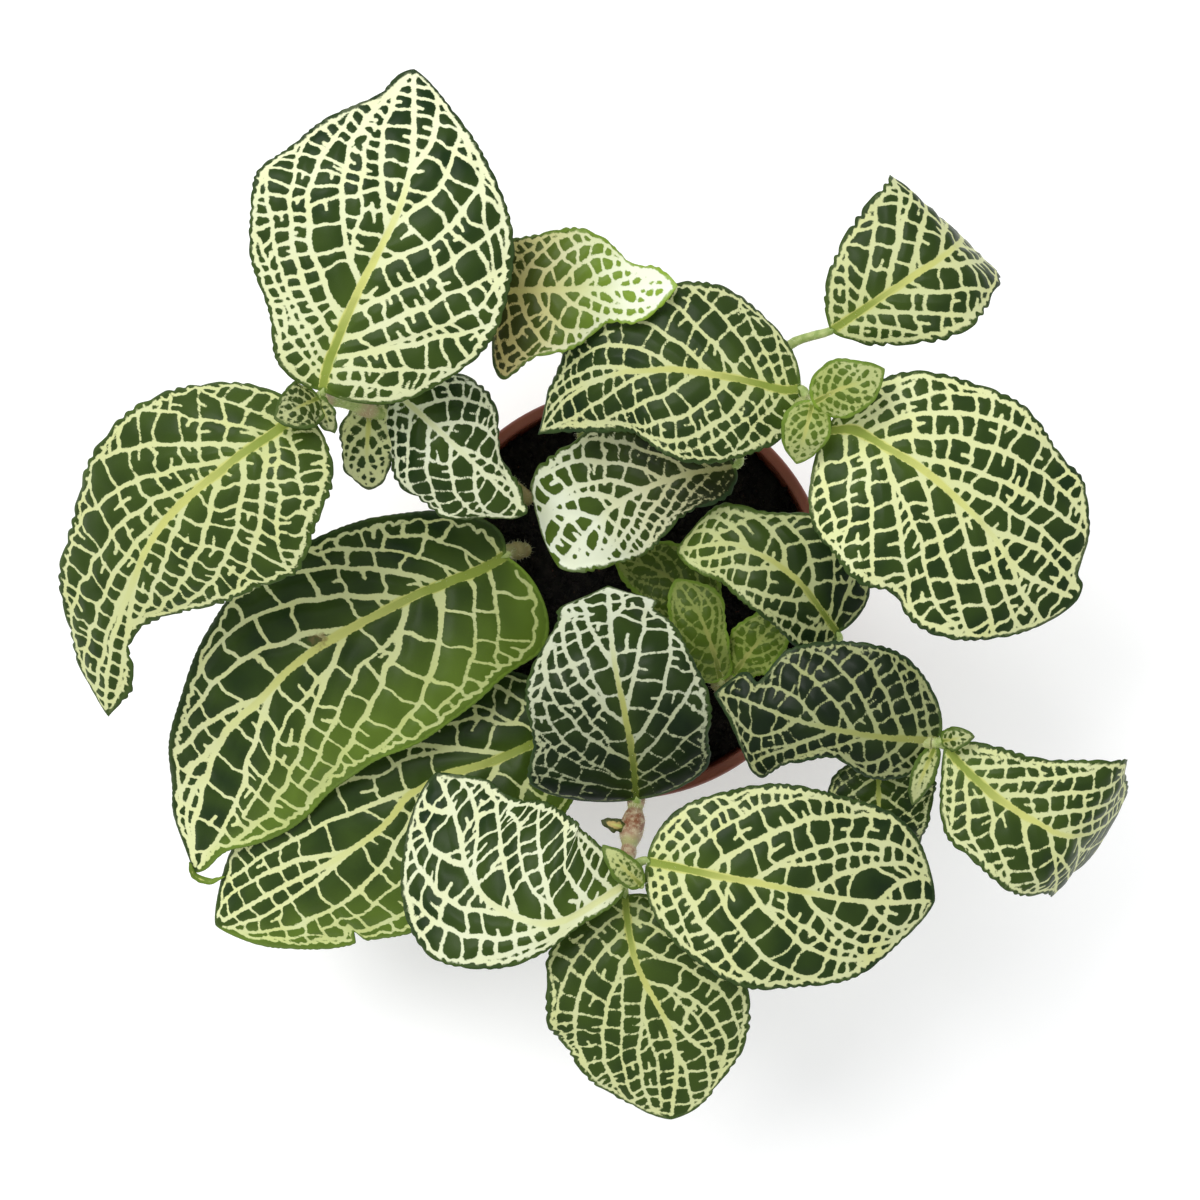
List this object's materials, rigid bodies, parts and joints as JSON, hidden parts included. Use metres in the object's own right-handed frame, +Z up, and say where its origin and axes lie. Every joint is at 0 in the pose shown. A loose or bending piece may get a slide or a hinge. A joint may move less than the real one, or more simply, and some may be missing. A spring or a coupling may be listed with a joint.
{
  "type": "potted nerve plant",
  "caption": "Small potted nerve plant with broad, net-veined leaves spreading from leafy stems over a round tapered nursery pot filled with peat.",
  "frame": {"origin": "centre of the pot's flat underside, on the surface that it stands on", "axes": "+Z up along the pot's axis; +Y towards the back of the plant, which is the top of the reference view from above; +X to the right"},
  "size_m": [0.2244, 0.2173, 0.1443],
  "materials": {
    "pot_plastic": "satin",
    "peat_soil": "matte",
    "foliage": "satin"
  },
  "bodies": {
    "root": {"pot": "pot_plastic", "soil": "peat_soil", "shoot_back_left": "foliage", "shoot_back": "foliage", "shoot_back_right": "foliage", "shoot_front": "foliage", "shoot_right": "foliage", "shoot_left": "foliage", "shoot_front_left": "foliage", "shoot_middle": "foliage", "shoot_middle_right": "foliage"}
  },
  "joints": []
}
